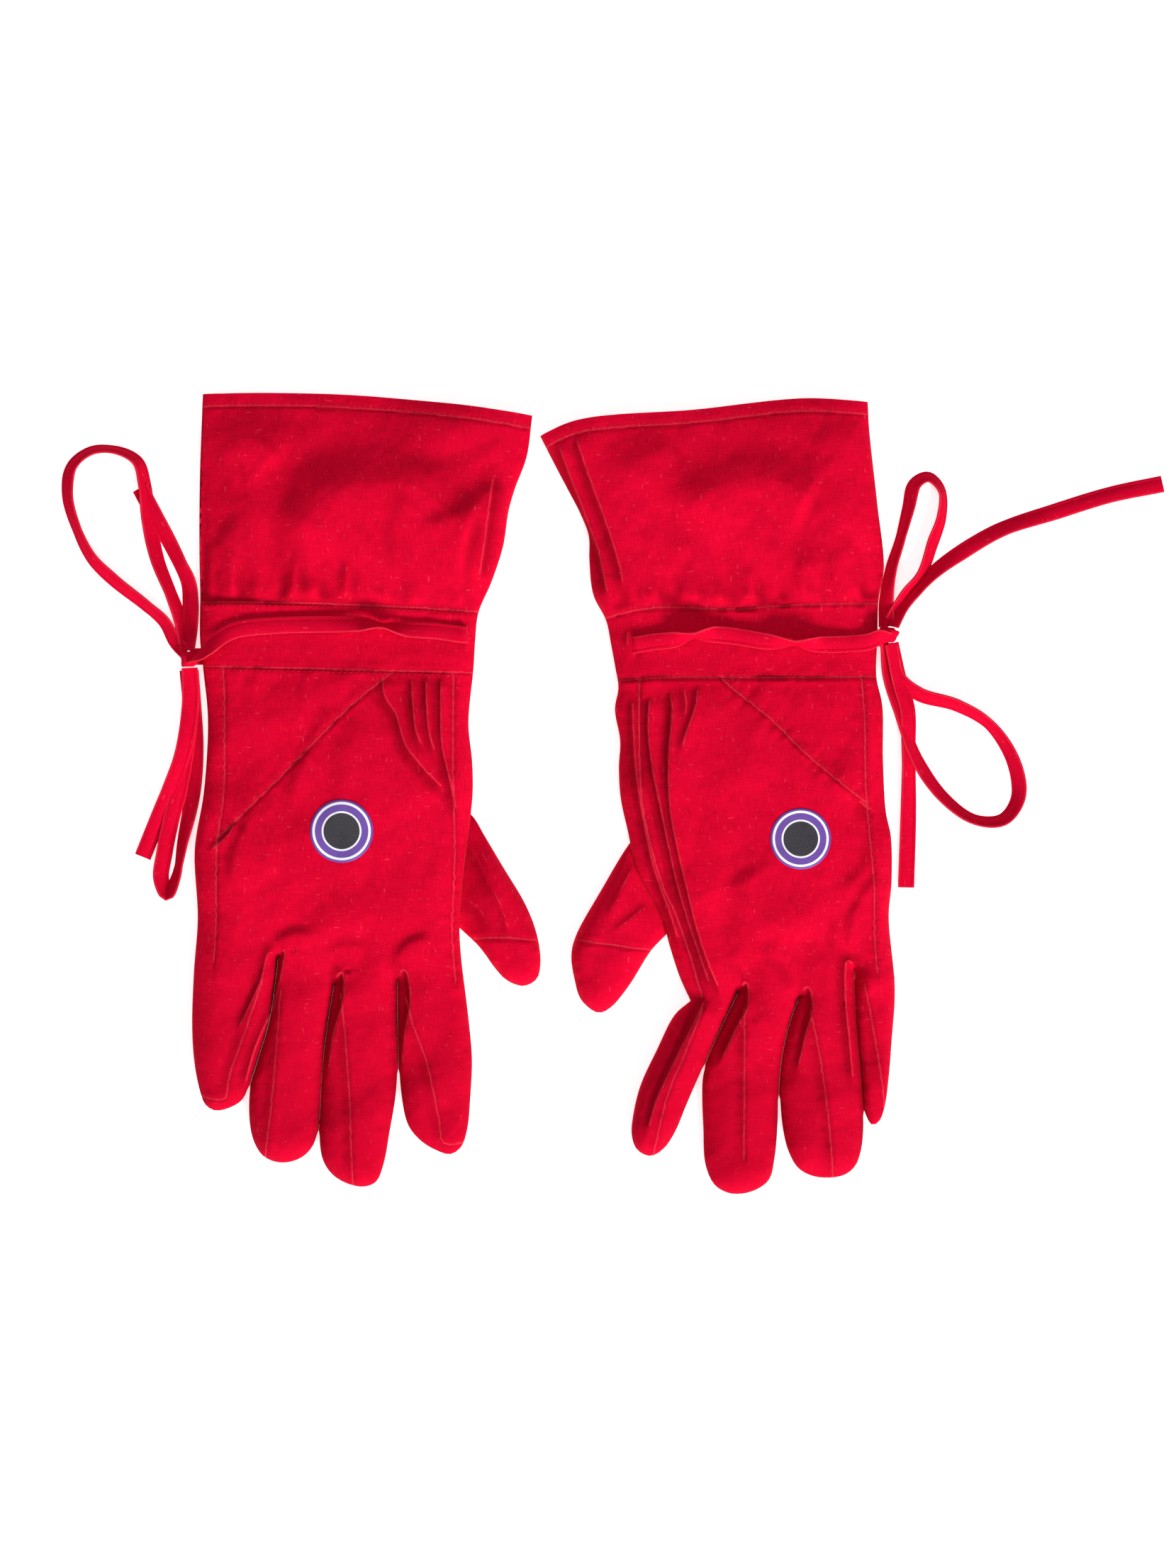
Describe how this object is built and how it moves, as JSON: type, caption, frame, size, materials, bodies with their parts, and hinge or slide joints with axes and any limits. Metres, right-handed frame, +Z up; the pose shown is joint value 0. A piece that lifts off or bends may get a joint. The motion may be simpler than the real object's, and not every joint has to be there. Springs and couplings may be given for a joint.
{
  "type": "electrical insulating gloves",
  "caption": "Pair of sewn red cloth gauntlet gloves lying flat, with flared hemmed cuffs, wrist casings and tape ties knotted in bows.",
  "frame": {"origin": "on the floor, below the middle of the pair (ties left out)", "axes": "+Z up off the floor, +Y from the fingertips towards the cuffs, +X towards the left-hand glove"},
  "size_m": [0.5036, 0.3606, 0.0164],
  "materials": {
    "cloth": "plain-woven cotton, slubbed, crimson",
    "hem": "the same cloth folded double and stitched",
    "tape": "folded and edge-stitched strip of the same cloth",
    "badge": "printed patch in plain rings of violet, white and near-black"
  },
  "bodies": {
    "right_hand": {"right_palm": "cloth", "right_hand_back": "cloth", "right_wrist_gusset": "cloth", "right_outer_strip": "cloth", "right_thumb_strip": "cloth", "right_badge": "badge", "right_casing": "cloth", "right_tie_band": "tape", "right_tie_knot": "tape", "right_tie_upper_loop": "tape", "right_tie_upper_tail": "tape", "right_tie_lower_loop": "tape", "right_tie_lower_tail": "tape"},
    "right_cuff": {"right_cuff_back": "cloth", "right_cuff_palm": "cloth", "right_cuff_hem": "hem"},
    "right_thumb": {"right_thumb": "cloth", "right_thumb_tip": "cloth"},
    "right_index": {"right_index_back": "cloth", "right_index_palm": "cloth", "right_index_fourchette": "cloth"},
    "right_middle": {"right_middle_back": "cloth", "right_middle_palm": "cloth", "right_middle_fourchette": "cloth"},
    "right_ring": {"right_ring_back": "cloth", "right_ring_palm": "cloth", "right_ring_fourchette": "cloth"},
    "right_little": {"right_little_back": "cloth", "right_little_palm": "cloth", "right_little_fourchette": "cloth"},
    "left_hand": {"left_palm": "cloth", "left_hand_back": "cloth", "left_wrist_gusset": "cloth", "left_outer_strip": "cloth", "left_thumb_strip": "cloth", "left_badge": "badge", "left_casing": "cloth", "left_tie_band": "tape", "left_tie_knot": "tape", "left_tie_upper_loop": "tape", "left_tie_upper_tail": "tape", "left_tie_lower_loop": "tape", "left_tie_lower_tail": "tape"},
    "left_cuff": {"left_cuff_back": "cloth", "left_cuff_palm": "cloth", "left_cuff_hem": "hem"},
    "left_thumb": {"left_thumb": "cloth", "left_thumb_tip": "cloth"},
    "left_index": {"left_index_back": "cloth", "left_index_palm": "cloth", "left_index_fourchette": "cloth"},
    "left_middle": {"left_middle_back": "cloth", "left_middle_palm": "cloth", "left_middle_fourchette": "cloth"},
    "left_ring": {"left_ring_back": "cloth", "left_ring_palm": "cloth", "left_ring_fourchette": "cloth"},
    "left_little": {"left_little_back": "cloth", "left_little_palm": "cloth", "left_little_fourchette": "cloth"}
  },
  "joints": [
    {"name": "right_cuff_fold", "type": "hinge", "parent": "right_hand", "child": "right_cuff", "pos_m": [-0.09405, 0.0882, 0.015], "axis": [1, 0, 0], "range_deg": [0, 115]},
    {"name": "right_thumb_curl", "type": "hinge", "parent": "right_hand", "child": "right_thumb", "pos_m": [-0.03525, -0.0365, 0], "axis": [0.0879, 0.9961, 0], "range_deg": [-8, 60]},
    {"name": "right_index_curl", "type": "hinge", "parent": "right_hand", "child": "right_index", "pos_m": [-0.0515, -0.089, 0], "axis": [0.9979, 0.0654, 0], "range_deg": [-8, 80]},
    {"name": "right_middle_curl", "type": "hinge", "parent": "right_hand", "child": "right_middle", "pos_m": [-0.0815, -0.089, 0], "axis": [0.9982, -0.0607, 0], "range_deg": [-8, 80]},
    {"name": "right_ring_curl", "type": "hinge", "parent": "right_hand", "child": "right_ring", "pos_m": [-0.1085, -0.089, 0], "axis": [0.988, -0.1544, 0], "range_deg": [-8, 80]},
    {"name": "right_little_curl", "type": "hinge", "parent": "right_hand", "child": "right_little", "pos_m": [-0.14, -0.08, 0], "axis": [0.9907, -0.136, 0], "range_deg": [-8, 80]},
    {"name": "left_cuff_fold", "type": "hinge", "parent": "left_hand", "child": "left_cuff", "pos_m": [0.0917, 0.0862, 0.015], "axis": [1, 0, 0], "range_deg": [0, 115]},
    {"name": "left_thumb_curl", "type": "hinge", "parent": "left_hand", "child": "left_thumb", "pos_m": [0.04575, -0.0395, 0], "axis": [0.3536, -0.9354, 0], "range_deg": [-8, 60]},
    {"name": "left_index_curl", "type": "hinge", "parent": "left_hand", "child": "left_index", "pos_m": [0.0775, -0.098, 0], "axis": [0.8928, -0.4505, 0], "range_deg": [-8, 80]},
    {"name": "left_middle_curl", "type": "hinge", "parent": "left_hand", "child": "left_middle", "pos_m": [0.102, -0.097, 0], "axis": [0.9838, -0.1795, 0], "range_deg": [-8, 80]},
    {"name": "left_ring_curl", "type": "hinge", "parent": "left_hand", "child": "left_ring", "pos_m": [0.1298, -0.097, 0], "axis": [1, -0.0064, 0], "range_deg": [-8, 80]},
    {"name": "left_little_curl", "type": "hinge", "parent": "left_hand", "child": "left_little", "pos_m": [0.1505, -0.084, 0], "axis": [1, 0, 0], "range_deg": [-8, 80]},
    {"name": "left_glove_apart", "type": "slide", "parent": "right_hand", "child": "left_hand", "axis": [1, 0, 0], "range_m": [0, 0.2]}
  ]
}
